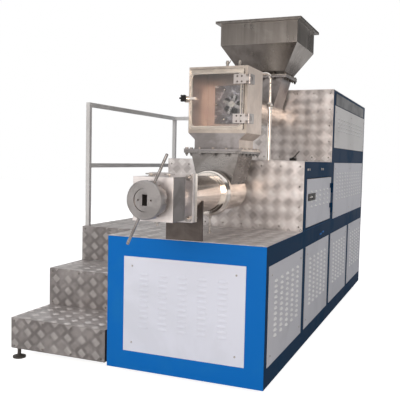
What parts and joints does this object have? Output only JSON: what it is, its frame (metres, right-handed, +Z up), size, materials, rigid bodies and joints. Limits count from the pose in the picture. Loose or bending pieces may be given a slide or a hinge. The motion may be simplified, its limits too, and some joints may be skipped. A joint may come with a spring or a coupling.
{
  "type": "vacuum soap plodder",
  "caption": "Two-stage vacuum soap plodder: screw press with ring-nut die head, square vacuum chamber, steel hopper, stepped blue cabinet, and side stair with railing.",
  "frame": {"origin": "middle of the floor area that the machine and its stair cover, at floor level", "axes": "+Z is up; the long side of the machine runs along Y, with the die at the -Y end; +X is the side with the service door, -X the side with the stair"},
  "size_m": [1.569, 3.703, 2.153],
  "materials": {
    "blue_paint": "gloss",
    "white_panel": "satin",
    "tread_plate": "satin",
    "brushed_steel": "satin",
    "clear_plastic": "gloss",
    "black_plastic": "satin",
    "dark_steel": "matte",
    "glossy_trim": "gloss",
    "rail_tube": "satin"
  },
  "bodies": {
    "machine": {"base_cabinet": "blue_paint", "levelling_feet": "dark_steel", "base_deck": "tread_plate", "front_panel": "white_panel", "right_panels": "white_panel", "left_panels": "white_panel", "rear_panels": "white_panel", "mid_cabinet": "blue_paint", "mid_front_plate": "tread_plate", "mid_deck": "tread_plate", "top_cabinet": "blue_paint", "top_front_plate": "tread_plate", "top_cover": "tread_plate", "top_bands": "glossy_trim", "barrel_stand": "brushed_steel", "lower_barrel": "brushed_steel", "drain_jack": "brushed_steel", "head_neck": "brushed_steel", "flange_studs": "brushed_steel", "head_block": "brushed_steel", "head_fittings": "brushed_steel", "ring_nut": "brushed_steel", "die_plate": "brushed_steel", "tommy_bars": "brushed_steel", "throat": "brushed_steel", "vacuum_chamber": "brushed_steel", "chamber_hinges": "brushed_steel", "cutter_plate": "brushed_steel", "upper_barrel": "brushed_steel", "upper_throat": "brushed_steel", "hopper": "brushed_steel", "vacuum_pipe": "brushed_steel", "lever_switch": "black_plastic", "stair_steps": "tread_plate", "stair_sides": "tread_plate", "stair_feet": "dark_steel", "platform": "tread_plate", "platform_frame": "dark_steel", "railing": "rail_tube"},
    "chamber_door": {"chamber_door": "clear_plastic", "door_leaves": "brushed_steel", "door_clamp": "black_plastic"},
    "service_door": {"service_door": "white_panel", "service_door_latch": "black_plastic"},
    "cutter": {"cutter": "brushed_steel"}
  },
  "joints": [
    {"name": "chamber_door_hinge", "type": "hinge", "parent": "machine", "child": "chamber_door", "pos_m": [0.5135, -0.9705, 1.54], "axis": [0, 0, 1], "range_deg": [0, 110]},
    {"name": "service_door_hinge", "type": "hinge", "parent": "machine", "child": "service_door", "pos_m": [0.7765, 0.2205, 0.936], "axis": [0, 0, 1], "range_deg": [0, 105]},
    {"name": "cutter_spin", "type": "hinge", "parent": "machine", "child": "cutter", "pos_m": [0.3155, -0.6925, 1.535], "axis": [0, 1, 0], "continuous": true}
  ]
}
